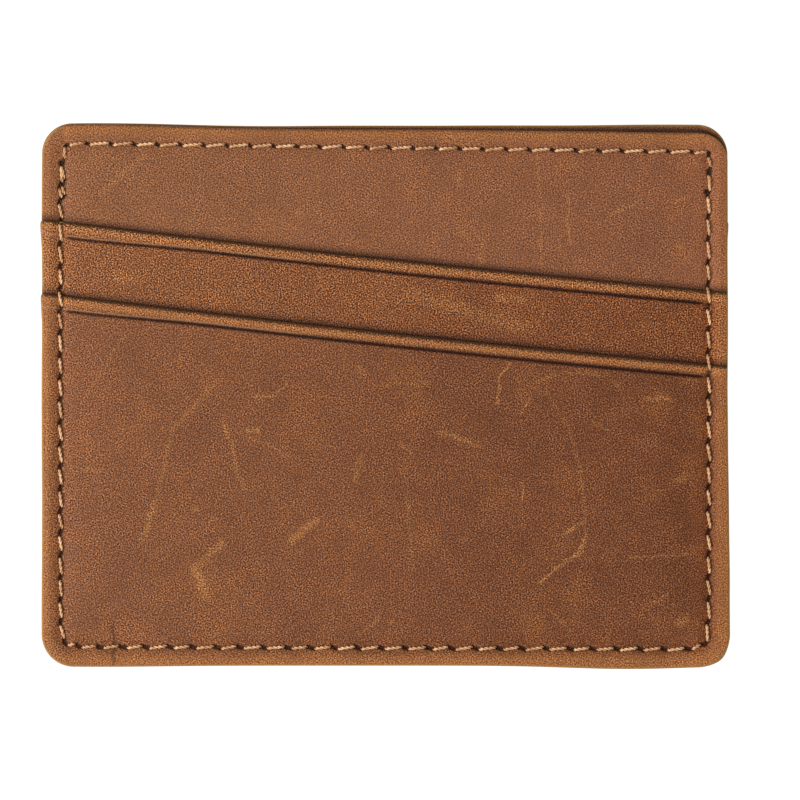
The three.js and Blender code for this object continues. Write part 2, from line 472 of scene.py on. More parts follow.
def place(face, x, y, height):
    """A face's own coordinates to the frame's, in metres."""
    if face["turned"]:
        return np.column_stack([-x, y, MID - height]) * MM
    return np.column_stack([x, y, MID + height]) * MM


def linked(name, data):
    made = bpy.data.objects.new(name, data)
    bpy.context.scene.collection.objects.link(made)
    return made


def new_object(name, points, faces, masks, material):
    """A smooth-shaded piece that rides on the wallet's one body, with its masks as attributes."""
    mesh = bpy.data.meshes.new(name)
    mesh.from_pydata(points.tolist(), [], faces)
    for key, values in masks.items():
        attribute = mesh.attributes.new(key, "FLOAT", "POINT")
        attribute.data.foreach_set("value", np.asarray(values, dtype=np.float32))
    mesh.polygons.foreach_set("use_smooth", [True] * len(faces))
    mesh.materials.append(material)
    made = linked(name, mesh)
    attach(made, "root")
    return made


def ring_faces(first, second, count):
    """Quads between two rings of points, given by the index each ring starts at."""
    after = [(step + 1) % count for step in range(count)]
    return [(first + s, first + after[s], second + after[s], second + s) for s in range(count)]


def closed_faces(outer_faces, inner_faces, start, count):
    """The outer sheet's faces, the cut edge's, and the inner sheet's turned over."""
    faces = outer_faces + ring_faces(start, 0, count)
    return faces + [tuple(start + index for index in reversed(face)) for face in inner_faces]


def filled(outline, insets, step):
    """A flat sheet of points and faces over an outline, with each point's distance in from the edge."""
    rings = [outline.ring(inset) for inset in insets]
    count = len(rings[0])
    faces = []
    for index in range(len(rings) - 1):
        faces += ring_faces(index * count, (index + 1) * count, count)
    grid = outline.inside(insets[-1], step)
    flat = np.concatenate([rings[-1], grid])
    found = delaunay_2d_cdt([Vector(point) for point in flat], [], [list(range(count))], 1, 1e-5)
    start = (len(rings) - 1) * count
    points = [np.concatenate(rings)]
    own_index = {}
    extra = []
    for index, (point, sources) in enumerate(zip(found[0], found[3])):
        if sources and sources[0] < count:
            own_index[index] = start + sources[0]
        else:
            own_index[index] = len(rings) * count + len(extra)
            extra.append((point.x, point.y))
    points.append(np.array(extra))
    faces += [tuple(own_index[corner_index] for corner_index in face) for face in found[2]]
    depth = np.concatenate([np.repeat(insets, count), np.full(len(extra), insets[-1])])
    return np.concatenate(points), faces, depth, count


def edge_drop(depth):
    """How far the outer face falls away at a cut edge."""
    inside = np.clip(EDGE_ROUND - depth, 0, EDGE_ROUND)
    rounding = EDGE_ROUND - np.sqrt(EDGE_ROUND**2 - inside**2)
    return rounding + EDGE_ROLL * (1 - smooth(0, EDGE_ROLL_REACH, depth))


def crease_drop(x):
    """How far under its mouth a crease runs: a little further at its left end."""
    return CREASE_DROP + 0.4 * smooth(26, 46, -x)


def crease_strength(x):
    """The crease fades towards its left end and stops short of the side seams."""
    return (0.8 + 0.2 * smooth(-44, -22, x)) * smooth(CREASE_END, CREASE_END - 1, np.abs(x))


def crease_mask(x, below):
    """Where the crease is painted with shade: narrower where it is weaker."""
    width = 0.03 + 0.17 * crease_strength(x)
    return 0.95 * smooth(0, 0.5, crease_strength(x)) * bell(below - crease_drop(x), width)


def glint_mask(x, below):
    """A painted highlight: the thin pale line just above a crease, over the left part of a mouth."""
    return smooth(-8, -16, x) * bell(below - crease_drop(x) + 0.3, 0.06)


def mouth_relief(x, below):
    """The band above the crease swells a little and the crease itself is pressed in."""
    drop = crease_drop(x)
    pressed = CREASE_DEPTH * crease_strength(x) * bell(below - drop, CREASE_SPREAD)
    return pressed - BAND_SWELL * bell(below - 0.55 * drop, 0.4)


def leather_masks(layer, x, y, below, depth, hole, inner_depth):
    """What the leather's material needs to know at each point, for the outer face and the inner one."""
    rim = np.minimum(rim_distance(x, y), depth) if layer == PANEL else rim_distance(x, y)
    covered = {PANEL: mouth_height(x), UPPER: mouth_height(x) - POCKET_SPACING, LOWER: y - FAR}
    inner = np.zeros_like(inner_depth)
    pairs = {
        "edge": (depth, inner_depth),
        "flesh": (0 * x, smooth(0.2, 0.45, inner_depth)),
        "rim": (rim, inner + INNER_RIM),
        "below": (below, inner + FAR),
        "above": (y - covered[layer], inner + FAR),
        "hole": (hole, inner),
        "crease": (crease_mask(x, below), inner),
        "glint": (glint_mask(x, below), inner),
    }
    return {key: np.concatenate(pair) for key, pair in pairs.items()}


def leather(face, layer, outline, holes, material):
    """One closed piece of leather, replacing its CAD node."""
    points, outer_faces, depth, count = filled(outline, OUTER_INSETS, OUTER_STEP)
    x, y = points[:, 0], points[:, 1]
    _, high = levels(face, x, y)[layer]
    below = outline.top(x) - y
    hole = hole_mask(x, y, holes)
    high = high - edge_drop(depth) - seam_valley(face, x, y) - HOLE_DEPTH * hole
    if layer != PANEL:
        high = high - mouth_relief(x, below)
    inner_points, inner_faces, inner_depth, _ = filled(outline, INNER_INSETS, INNER_STEP)
    inner_x, inner_y = inner_points[:, 0], inner_points[:, 1]
    low, _ = levels(face, inner_x, inner_y)[layer]
    low = low + INNER_ROUND * (1 - smooth(0, INNER_ROUND, inner_depth))
    faces = closed_faces(outer_faces, inner_faces, len(points), count)
    name = f"{face['name']}_{layer}_leather"
    masks = leather_masks(layer, x, y, below, depth, hole, inner_depth)
    placed = np.concatenate([place(face, x, y, high), place(face, inner_x, inner_y, low)])
    made = new_object(name, placed, faces, masks, material)
    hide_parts(f"{face['name']}_{layer}")
    return made


def cloth(face, layer, outline, material):
    """A thin lining or interlining, replacing its CAD node."""
    points, outer_faces, _, count = filled(outline, CLOTH_INSETS, CLOTH_STEP)
    x, y = points[:, 0], points[:, 1]
    low, high = levels(face, x, y)[layer]
    faces = closed_faces(outer_faces, outer_faces, len(points), count)
    placed = np.concatenate([place(face, x, y, high - CLOTH_GAP), place(face, x, y, low + CLOTH_GAP)])
    made = new_object(f"{face['name']}_{layer}_cloth", placed, faces, {}, material)
    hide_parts(f"{face['name']}_{layer}")
    return made


# ---- Thread ----

STRAND_RADIUS = 0.135
TWIST_RADIUS = 0.11
TWIST_LENGTH = 1.4
STRAND_SIDES = 7
STITCH_BOW = 0.03  # a stitch's middle is this much higher than its shoulders are lower
SHOULDER = 0.4  # the shoulders' distance from its ends
END_DROP = 0.64  # how far a stitch has sunk where it meets its hole
DIVE = 0.85  # and how far down its hole it goes
NEEDLE_RISE = 0.22  # the centre line's height over the leather
BOBBIN_RISE = 0.12
INNER_RISE = 0.1
INNER_SIZE = 0.45  # a bobbin thread inside the wallet is finer
THREAD_STEP = 0.13


def shown_height(face, layers, x, y):
    """The height of the outermost leather, with the mouths' steps eased for a thread."""
    found = levels(face, x, y)
    height = found[PANEL][1]
    if UPPER in layers:
        upper = smooth(0.3, -0.3, y - mouth_height(x))
        lower = smooth(0.3, -0.3, y - mouth_height(x) + POCKET_SPACING)
        height = height + (found[UPPER][1] - height) * upper
        height = height + (found[LOWER][1] - height) * lower
    return height - seam_valley(face, x, y)


def curve_through(controls, step):
    """A smooth line through the control points, sampled at about equal steps."""
    made = []
    padded = [controls[0], *controls, controls[-1]]
    for before, start, end, after in zip(padded, padded[1:], padded[2:], padded[3:]):
        count = max(round((end - start).length / step), 1)
        for index in range(count):
            t = index / count
            a = 2 * start
            b = (end - before) * t
            c = (2 * before - 5 * start + 4 * end - after) * t * t
            d = (3 * start - before - 3 * end + after) * t * t * t
            made.append((a + b + c + d) / 2)
    made.append(controls[-1])
    return made


def thread_line(holes, shown, surface, rise, dive):
    """The thread's centre line: over the leather in each stitch and down into each hole."""
    controls = []

    def add(spot, height):
        controls.append(Vector((spot.x, spot.y, surface(spot.x, spot.y) + height)))

    for hole, (start, end) in zip(holes, shown):
        run = end - start
        shoulder = run * min(SHOULDER / run.length, 0.3)
        add(Vector(hole), -dive)
        add(start, rise - END_DROP)
        add(start + shoulder, rise - STITCH_BOW)
        add((start + end) / 2, rise + STITCH_BOW)
        add(end - shoulder, rise - STITCH_BOW)
        add(end, rise - END_DROP)
    add(Vector(holes[-1]), -dive)
    return curve_through(controls, THREAD_STEP)


def twisted(centre, size):
    """Two plies wound round a centre line, as points and faces."""
    points = []
    faces = []
    for ply in range(2):
        travelled = 0.0
        first = len(points)
        for index, here in enumerate(centre):
            before = centre[max(index - 1, 0)]
            after = centre[min(index + 1, len(centre) - 1)]
            ahead = (after - before).normalized()
            flat = Vector((ahead.x, ahead.y, 0))
            side = Vector((-flat.y, flat.x, 0)).normalized() if flat.length > 0.05 else side
            up = ahead.cross(side).normalized()
            travelled += (here - before).length
            turn = 2 * math.pi * travelled / TWIST_LENGTH + math.pi * ply
            offset = side * math.cos(turn) + up * math.sin(turn)
            middle = here + offset * (TWIST_RADIUS * size)
            for corner_index in range(STRAND_SIDES):
                angle = 2 * math.pi * corner_index / STRAND_SIDES
                spoke = side * math.cos(angle) + up * math.sin(angle)
                points.append(middle + spoke * (STRAND_RADIUS * size))
        for index in range(len(centre) - 1):
            start = first + index * STRAND_SIDES
            faces += ring_faces(start + STRAND_SIDES, start, STRAND_SIDES)
        last = first + (len(centre) - 1) * STRAND_SIDES
        faces.append(tuple(first + s for s in range(STRAND_SIDES)))
        faces.append(tuple(last + s for s in reversed(range(STRAND_SIDES))))
    return points, faces


def thread(name, node, face, holes, shown, surface, rise, material, size=1.0):
    """One seam's thread, replacing its CAD node. Its colour is painted with shade where it sinks into its
    holes.
    """
    centre = thread_line(holes, shown, surface, rise, DIVE * size)
    points, faces = twisted(centre, size)
    flat = np.array([tuple(point) for point in points])
    placed = place(face, flat[:, 0], flat[:, 1], flat[:, 2])
    sinking = np.array([point.z - surface(point.x, point.y) - rise for point in centre])
    # How far each point has sunk, for painted shade on the thread down in its holes
    sunk = np.tile(np.repeat(smooth(-0.2, -0.55, sinking), STRAND_SIDES), 2)
    made = new_object(name, placed, faces, {"sunk": sunk}, material)
    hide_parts(node)
    return made


# ---- Materials ----


def linear(red, green, blue):
    """A display colour, 0 to 255, as linear light."""
    made = []
    for value in (red, green, blue):
        share = value / 255
        made.append(share / 12.92 if share <= 0.04045 else ((share + 0.055) / 1.055) ** 2.4)
    return (*made, 1.0)


LIGHT_GAIN = 1.22  # a white surface facing up sends out this much light
GLOSS = 0.018  # and the leather's soft gloss adds this
ASKEW = (0.62, 0.49, 0.3)  # turns the noise's own grid away from the leather's plane
PEBBLE_MEAN = 0.43
CRISP_REACH = 0.2  # the grain is compared with itself this far around
CRISP_SHARE = 0.2  # and this much of each neighbour is taken off
MARK_WANDER = 1.3  # a scratch strays up to half as far from its path
RIDGE_TINT = (0.24, 0.125, 0.06)  # the grain's ridges are rubbed a little paler


def as_lit(red, green, blue):
    """The surface colour that looks like a display colour once it is lit."""
    seen = linear(red, green, blue)
    return (*(max((value - GLOSS) / LIGHT_GAIN, 0.002) for value in seen[:3]), 1.0)


WARM = as_lit(156, 98, 56)
MARGIN = as_lit(170, 111, 68)
# The band under a mouth: partly the leather's paler colour where it is bent, partly a painted highlight on
# its rounded crown
PALE_BAND_AND_HIGHLIGHT = as_lit(177, 116, 70)
SCRATCH = as_lit(180, 123, 74)
PORE = as_lit(74, 36, 12)
RAW_EDGE = as_lit(176, 132, 76)
# A painted highlight
GLINT = as_lit(205, 160, 122)
# Painted shade and shadow for holes, creases, gaps and the inner face; also the nicks and a mouth's dark
# edge
SHADE_AND_GRIME = as_lit(50, 26, 16)


class Nodes:
    """Short calls that build one material's node tree."""

    def __init__(self, name):
        self.material = bpy.data.materials.new(name)
        self.material.use_nodes = True
        self.tree = self.material.node_tree
        self.tree.nodes.clear()

    def add(self, kind, inputs, **settings):
        node = self.tree.nodes.new("ShaderNode" + kind)
        for key, value in settings.items():
            setattr(node, key, value)
        for key, value in inputs.items():
            if isinstance(value, bpy.types.NodeSocket):
                self.tree.links.new(value, node.inputs[key])
            else:
                node.inputs[key].default_value = value
        return node

    def math(self, operation, *values):
        return self.add("Math", dict(enumerate(values)), operation=operation).outputs[0]

    def times(self, value, share):
        return self.math("MULTIPLY", value, share)

    def plus(self, value, other, share=None):
        """The first value and the second, or a share of the second."""
        return self.math("ADD", value, self.times(other, share) if share else other)

    def minus(self, value, other, share):
        return self.math("SUBTRACT", value, self.times(other, share))

    def strongest(self, value, other, share=None):
        """The greater of the first value and the second, or a share of the second."""
        return self.math("MAXIMUM", value, self.times(other, share) if share else other)

    def bright(self, colour, factor):
        """A colour times a number."""
        return self.add("VectorMath", {0: colour, "Scale": factor}, operation="SCALE").outputs[0]

    def vector(self, operation, *values):
        return self.add("VectorMath", dict(enumerate(values)), operation=operation)

    def millimetres(self, shift=(0.0, 0.0, 0.0)):
        """The object's own coordinates in millimetres, shifted to give another pattern."""
        coordinates = self.add("TexCoord", {}).outputs["Object"]
        measured = self.bright(coordinates, 1 / MM)
        return self.vector("ADD", measured, shift).outputs[0]

    def noise(self, coordinates, size, detail, rough=0.5):
        """Noise about 0, from -0.5 to 0.5, with features of a size in millimetres."""
        inputs = {"Vector": coordinates, "Scale": 1 / size, "Detail": detail, "Roughness": rough}
        made = self.add("TexNoise", inputs).outputs["Fac"]
        return self.math("SUBTRACT", made, 0.5)

    def crisp_noise(self, coordinates, size):
        """Fine noise with most of its broader swells taken out, so that it reads as grain."""
        made = self.noise(coordinates, size, 0.0)
        turned = Euler(ASKEW).to_matrix()
        for third in range(3):
            angle = 2 * math.pi * third / 3
            shift = turned @ Vector((math.cos(angle), math.sin(angle), 0)) * CRISP_REACH
            beside = self.noise(self.vector("ADD", coordinates, shift).outputs[0], size, 0.0)
            made = self.minus(made, beside, CRISP_SHARE)
        return made

    def pebbles(self, coordinates, size):
        """Rounded grain about 0, its mean: high along the ridges and low in the pores between them."""
        inputs = {"Vector": coordinates, "Scale": 1 / size}
        made = self.add("TexVoronoi", inputs, voronoi_dimensions="2D").outputs["Distance"]
        return self.math("SUBTRACT", made, PEBBLE_MEAN)

    def step(self, value, low, high):
        """0 at low and 1 at high, soft between. Low may be the greater."""
        inputs = {"Value": value, "From Min": low, "From Max": high}
        return self.add("MapRange", inputs, interpolation_type="SMOOTHSTEP", clamp=False).outputs["Result"]

    def blend(self, factor, first, second):
        inputs = {"Factor": factor, 6: first, 7: second}
        return self.add("Mix", inputs, data_type="RGBA", clamp_factor=True).outputs[2]

    def mask(self, name):
        return self.add("Attribute", {}, attribute_name=name).outputs["Fac"]

    def finish(self, colour, height, roughness, gloss):
        bump = self.add("Bump", {"Height": height, "Distance": MM, "Strength": 1.0}).outputs["Normal"]
        inputs = {"Base Color": colour, "Roughness": roughness, "Normal": bump, "Specular IOR Level": gloss}
        shader = self.add("BsdfPrincipled", inputs).outputs[0]
        self.add("OutputMaterial", {"Surface": shader})
        return self.material


# Scratches and rubbed marks that lighten the waxed leather: strength, width and path
LOWER_MARKS = [
    (0.4, 0.5, [(-38.4, 8.9), (-42.0, 3.4), (-45.1, -1.5)]),
    (0.45, 0.7, [(-25, 2), (-31.4, -5.1), (-33.2, -12.5), (-34.3, -17)]),
    (0.75, 0.8, [(-34.3, -17), (-35.8, -21.4)]),
    (0.6, 0.6, [(-24, -4), (-22.5, -7), (-22, -10.7), (-20.7, -13.6)]),
    (0.75, 0.8, [(-20.3, -5.1), (-18.8, -5.2)]),
    (0.45, 0.5, [(-20.7, -6.2), (-17, -7.4), (-14.4, -9.2)]),
    (0.7, 0.45, [(-19.2, -0.3), (-16.2, 0), (-14.4, 1.7)]),
    (0.3, 0.5, [(-5.5, 6), (-7, 2.3)]),
    (0.35, 1.3, [(-3.7, 3.7), (-3.2, 3.4)]),
    (0.3, 0.6, [(0, 1.7), (6.7, 1.7)]),
    (0.35, 1.0, [(-3.7, -9.2), (-4.4, -12.9)]),
    (0.3, 1.1, [(-5.1, -18.8), (-5, -19.4)]),
    (0.35, 1.2, [(11.5, -21.4), (11.9, -21)]),
    (0.85, 1.2, [(-13.6, -21.4), (-10.3, -18.5)]),
    (0.5, 0.9, [(-28.1, -16.6), (-27.7, -16.8)]),
    (0.5, 0.9, [(-25.8, -18.5), (-25.4, -18.2)]),
    (0.6, 1.3, [(-24, -21.8), (-28.1, -25.8)]),
    (0.8, 1.5, [(-28.1, -25.8), (-26.2, -29.9)]),
    (0.85, 0.5, [(18.5, 4.5), (17, 3), (16.7, -1.1)]),
    (0.6, 0.45, [(21.5, -0.3), (20.4, -2.6)]),
    (0.35, 0.55, [(22.6, 1.9), (25.9, 3.4), (33.3, 3.0)]),
    (0.5, 0.8, [(34.1, 1.7), (34.6, 1.5)]),
    (0.55, 0.8, [(38.5, -0.5), (42.2, -0.5)]),
    (0.45, 0.5, [(30.7, -4), (33, -5)]),
    (0.5, 0.9, [(8.2, -5.5), (14.1, -7.4)]),
    (0.35, 0.6, [(2.3, -7), (4.5, -8.8)]),
    (0.7, 0.35, [(20.4, -12.9), (20.4, -15.5)]),
    (0.35, 0.6, [(23.7, 0.8), (27.4, -5.1), (28.9, -11.1), (29.6, -17), (29.6, -21.4)]),
    (0.9, 0.6, [(23, -27.7), (25.9, -25.1), (28.9, -23.3), (29.6, -20.7)]),
    (0.7, 0.6, [(26.3, -20.7), (29.2, -18.8)]),
    (0.55, 0.45, [(36.3, -24), (45.2, -23.6)]),
    (0.6, 0.45, [(39.2, -31), (41.8, -29.5)]),
    (0.45, 0.45, [(39.8, -29.2), (41.2, -31.3)]),
    (0.6, 1.5, [(43.7, -33.6), (44.4, -33.2)]),
    (0.5, 1.3, [(43.7, -12.5), (44.2, -12)]),
    (0.45, 0.5, [(24.4, -31.8), (27.4, -34.7)]),
    (0.45, 0.5, [(-3.7, -35.5), (-0.7, -32.9)]),
    (0.25, 0.7, [(3, -9.6), (4.1, -25.8)]),
    (0.45, 0.5, [(-45, -11), (-42, -11.2)]),
]
LOWER_NICKS = [(0.5, 0.5, [(-40.2, -34.3), (-40.1, -36.4), (-40.3, -37.2), (-40.0, -39.8)])]
UPPER_MARKS = [
    (0.45, 1.6, [(-39.9, 17.6), (-36.6, 17.2)]),
    (0.35, 1.2, [(-21.8, 15.6), (-21, 15.3)]),
    (0.4, 2.4, [(3.7, 15.2), (20.7, 9.9)]),
    (0.6, 1.2, [(17, 14.5), (20, 14.2)]),
    (0.45, 0.5, [(24.4, 14), (21.8, 9)]),
    (0.4, 0.9, [(44, 10), (44.4, 9.4)]),
    (0.4, 0.4, [(1.5, 16.3), (2.3, 13.3)]),
]
PANEL_MARKS = [
    (0.55, 0.8, [(-35.8, 35.5), (-41.4, 30.5)]),
    (0.35, 0.45, [(-24.4, 34), (-25.1, 32.2)]),
    (0.35, 0.5, [(-10.3, 35.5), (-9.9, 29.6), (-9.6, 25.5)]),
    (0.45, 0.9, [(-12.9, 27), (-12.6, 26.6)]),
    (0.6, 0.7, [(10.8, 33.3), (11, 31.1)]),
    (0.6, 0.45, [(22.6, 35.9), (23.3, 19.3)]),
    (0.8, 0.42, [(27.5, 30), (27, 26.5), (27.6, 22.4)]),
    (0.6, 0.45, [(33.3, 26.6), (38.1, 29)]),
    (0.5, 0.45, [(25.5, 23), (27, 20)]),
    (0.6, 0.8, [(14.5, 22.8), (14.1, 19.6)]),
    (0.45, 1.2, [(11.3, 24.2), (12.2, 23.6)]),
    (0.35, 0.5, [(-19.9, 27.8), (-18.5, 25.9)]),
    (0.6, 1.0, [(43.7, 22.2), (44, 21.9)]),
    (0.45, 0.45, [(42.5, 28.5), (45.5, 29.6)]),
    (0.4, 0.45, [(-42.5, 28), (-42.1, 25.5)]),
]


def scattered_marks(seed, count, low, high):
    """Made-up scratches for a face that isn't seen."""
    chance = random.Random(seed)
    made = []
    for _ in range(count):
        start = Vector((chance.uniform(-45, 45), chance.uniform(low, high)))
        heading = chance.uniform(0, math.pi)
        bent = heading + chance.uniform(-0.5, 0.5)
        length = chance.uniform(0.3, 3.5)
        middle = start + length * Vector((math.cos(heading), math.sin(heading)))
        end = middle + length * Vector((math.cos(bent), math.sin(bent)))
        path = [(point.x, point.y) for point in (start, middle, end)]
        made.append((chance.uniform(0.3, 0.8), chance.uniform(0.4, 0.9), path))
    return made


def marks_socket(nodes, coordinates, marks):
    """How strongly any of the marks shows at a point. Each one is a short run of capsules."""
    wander = nodes.add("TexNoise", {"Vector": coordinates, "Scale": 0.9, "Detail": 2.0}).outputs["Color"]
    centred = nodes.vector("SUBTRACT", wander, (0.5, 0.5, 0.5)).outputs[0]
    point = nodes.vector("ADD", coordinates, nodes.bright(centred, MARK_WANDER)).outputs[0]
    flat = nodes.vector("MULTIPLY", point, (1.0, 1.0, 0.0)).outputs[0]
    total = nodes.times(0.0, 0.0)
    for strength, width, path in marks:
        for start, end in zip(path, path[1:]):
            run = Vector((end[0] - start[0], end[1] - start[1], 0))
            offset = nodes.vector("SUBTRACT", flat, (start[0], start[1], 0)).outputs[0]
            along = nodes.vector("DOT_PRODUCT", offset, tuple(run)).outputs["Value"]
            share = nodes.strongest(nodes.times(along, 1 / run.length_squared), 0.0)
            share = nodes.math("MINIMUM", share, 1.0)
            nearest = nodes.bright(tuple(run), share)
            away = nodes.vector("DISTANCE", offset, nearest).outputs["Value"]
            total = nodes.strongest(total, nodes.step(away, 0.75 * width, 0.08 * width), strength)
    return total


class Leather(Nodes):
    """Waxed pull-up leather: mottled brown, lighter where it is bent, pressed or scratched, with painted
    light and shade.
    """

    def __init__(self, name, seed, panel=False, mirrored=False):
        super().__init__(name)
        self.panel = panel
        place_mm = self.millimetres()
        pattern = self.millimetres((31.7 * seed, -17.3 * seed, 9.1 * seed))
        rotated = {"Vector": pattern, "Rotation": ASKEW}
        askew = self.add("VectorRotate", rotated, rotation_type="EULER_XYZ").outputs[0]
        mirror = (-1.0, 1.0, 1.0)
        self.place = self.vector("MULTIPLY", place_mm, mirror).outputs[0] if mirrored else place_mm
        self.across = self.add("SeparateXYZ", {"Vector": self.place}).outputs["X"]
        self.edge = self.mask("edge")
        self.rim = self.mask("rim")
        self.below = self.mask("below")
        self.above = self.mask("above")
        self.hole = self.mask("hole")
        self.broad = self.noise(askew, 14, 2.0, 0.6)
        self.cloud = self.noise(askew, 4.5, 3.0, 0.6)
        self.fleck = self.noise(askew, 1.1, 2.0, 0.6)
        self.hue = self.noise(askew, 9, 2.0, 0.6)
        pebble = self.times(self.pebbles(pattern, 0.25), 0.25)
        self.pebble = self.plus(pebble, self.crisp_noise(askew, 0.19), 1.9)

    def grain(self, strength):
        """Finds the grain at each point, which is weaker in the margin outside the seam."""
        roughened = self.plus(self.times(self.cloud, 1.2), strength)
        self.outside = self.times(self.step(self.rim, 2.5, 0.6), 0.85)
        if self.panel:
            side = self.step(self.math("ABSOLUTE", self.across), 46.8, 49)
            self.outside = self.times(self.outside, self.minus(1.0, side, 0.65))
        roughened = self.minus(roughened, self.outside, 0.15)
        self.fibre = self.times(self.pebble, roughened)

    def dye_and_painted_light(self, left, right):
        """The dye, lighter outside the seam where the leather is bent, and darker towards the right as
        painted shade. Along a mouth it is lighter where the leather is bent, with a painted highlight on the
        band's crown.
        """
        # Darker towards the right: painted shade, as the light comes from the left
        colour = self.blend(self.step(self.across, -48, 48), left, right)
        warm = self.step(self.plus(self.hue, self.fleck, 0.5), -0.05, 0.3)
        colour = self.blend(self.times(warm, 0.35), colour, WARM)
        colour = self.blend(self.outside, colour, MARGIN)
        if not self.panel:
            # Paler band under the mouth: partly the bent leather's own colour, partly a painted highlight on
            # the band's crown
            band = self.times(self.step(self.below, 1.8, 1.0), self.step(self.below, 0.2, 0.85))
            colour = self.blend(self.times(band, 0.9), colour, PALE_BAND_AND_HIGHLIGHT)
        return colour

    def scratched(self, colour, marks):
        """Pale scratches, broken up by the grain."""
        shown = marks_socket(self, self.place, marks)
        broken = self.step(self.plus(self.fleck, self.fibre, 0.25), -0.25, 0.2)
        mark = self.times(shown, self.plus(self.times(broken, 0.55), 0.45))
        return self.blend(self.times(mark, 0.95), colour, SCRATCH)

    def mottled(self, colour):
        """Light and dark at four sizes, and painted light along the right side, inside the seam, that
        offsets the seam valley's shade there.
        """
        tone = self.times(self.broad, 0.35)
        tone = self.plus(tone, self.cloud, 0.42)
        tone = self.plus(tone, self.fleck, 0.06)
        tone = self.plus(tone, self.fibre, 1.1)
        # Painted light inside the right seam, offsetting the shade of the seam's valley there
        right_painted_light = self.times(self.step(self.across, 40, 47), self.step(self.rim, 6.5, 3.5))
        right_painted_light = self.times(right_painted_light, self.minus(0.3, self.outside, 0.2))
        tone = self.plus(tone, right_painted_light)
        tone = self.strongest(self.plus(tone, 0.95), 0.2)
        return self.bright(colour, tone)

    def grained(self, colour):
        """Dark pores and rubbed ridges."""
        pore = self.times(self.math("MINIMUM", self.fibre, 0.0), -0.6)
        colour = self.blend(pore, colour, PORE)
        paler = self.bright(RIDGE_TINT, self.strongest(self.fibre, 0.0))
        return self.vector("ADD", colour, paler).outputs[0]

    def edged(self, colour):
        """The raw cut edge."""
        cut = self.step(self.edge, 0.45, 0.05)
        if self.panel:
            cut = self.times(cut, self.step(self.below, 0.2, 0.9))
        return self.blend(self.times(cut, 0.85), colour, RAW_EDGE)

    def darkened(self, colour, nicks):
        """Painted shade in the holes, creases and gaps and on the inner face, a painted shadow above a
        mouth, the dark nicks, and a darker line just under a mouth's edge.
        """
        # Painted shade in the stitch holes
        dark = self.times(self.hole, 0.85)
        if nicks:
            dark = self.strongest(dark, marks_socket(self, self.place, nicks))
        # Painted shadow above the mouth of the pocket in front
        dark = self.strongest(dark, self.step(self.above, 1.5, -0.1), 0.65)
        # Painted shade on the inner face, which shows only in the gap between the panels at the top
        dark = self.strongest(dark, self.mask("flesh"), 0.75)
        if self.panel:
            # Painted shade along a panel's top edge, where the gap between the panels is dark
            dark = self.strongest(dark, self.step(self.below, 0.5, 0.0), 0.45)
        else:
            # Painted highlight just above the crease
            colour = self.blend(self.times(self.mask("glint"), 0.45), colour, GLINT)
            crease = self.mask("crease")
            lip = self.step(self.plus(self.below, self.fibre, 0.3), 0.66, 0.2)
            # Painted shade in the crease
            dark = self.strongest(dark, crease, 1.0)
            # Darker just under a mouth's edge, broken up by the grain
            dark = self.strongest(dark, lip, 0.8)
        return self.blend(dark, colour, SHADE_AND_GRIME)


def leather_material(nodes, grain, left, right, marks, nicks):
    """One piece's leather: how strong its grain is, its dye at the left and right (the right's darker as
    painted shade), its marks and nicks.
    """
    nodes.grain(grain)
    colour = nodes.dye_and_painted_light(as_lit(*left), as_lit(*right))
    colour = nodes.scratched(colour, marks)
    colour = nodes.mottled(colour)
    colour = nodes.grained(colour)
    colour = nodes.edged(colour)
    colour = nodes.darkened(colour, nicks)
    height = nodes.plus(nodes.times(nodes.fibre, 0.05), nodes.fleck, 0.04)
    roughness = nodes.plus(nodes.times(nodes.cloud, 0.2), 0.58)
    return nodes.finish(colour, height, roughness, 0.17)


def thread_material():
    """Waxed polyester thread, with fine fibres along it."""
    nodes = Nodes("sewing_thread")
    place_mm = nodes.millimetres()
    fibre = nodes.noise(place_mm, 0.12, 2.0, 0.6)
    shade = nodes.noise(place_mm, 2.5, 2.0, 0.5)
    warm = nodes.step(nodes.plus(shade, fibre, 0.8), -0.3, 0.3)
    colour = nodes.blend(warm, linear(172, 118, 72), linear(236, 192, 144))
    # Painted shade where the thread sinks into its holes
    colour = nodes.blend(nodes.mask("sunk"), colour, linear(48, 27, 16))
    height = nodes.times(fibre, 0.03)
    return nodes.finish(colour, height, 0.55, 0.45)


def lining_material():
    """Dark brown twill."""
    nodes = Nodes("twill_lining")
    place_mm = nodes.millimetres()
    inputs = {"Vector": place_mm, "Scale": 0.9, "Distortion": 0.3, "Detail": 1.0}
    ribs = nodes.add("TexWave", inputs, bands_direction="DIAGONAL").outputs["Fac"]
    shade = nodes.noise(place_mm, 5, 2.0, 0.5)
    share = nodes.plus(nodes.times(ribs, 0.5), shade)
    colour = nodes.blend(share, linear(62, 40, 27), linear(104, 70, 48))
    return nodes.finish(colour, nodes.times(ribs, 0.05), 0.85, 0.2)


def interlining_material():
    """Pale bonded fleece, hidden between a panel and its lining."""
    nodes = Nodes("bonded_fleece")
    place_mm = nodes.millimetres()
    fibre = nodes.noise(place_mm, 0.8, 4.0, 0.7)
    colour = nodes.blend(nodes.plus(fibre, 0.5), linear(196, 188, 172), linear(232, 226, 212))
    return nodes.finish(colour, nodes.times(fibre, 0.05), 0.9, 0.2)


# ---- The wallet ----

FINE = 0.2  # the step along an edge that shows
COARSE = 1  # and along a cloth's edge, which doesn't
CLOTH_CORNER = 2.2  # the least radius of a cloth's corners

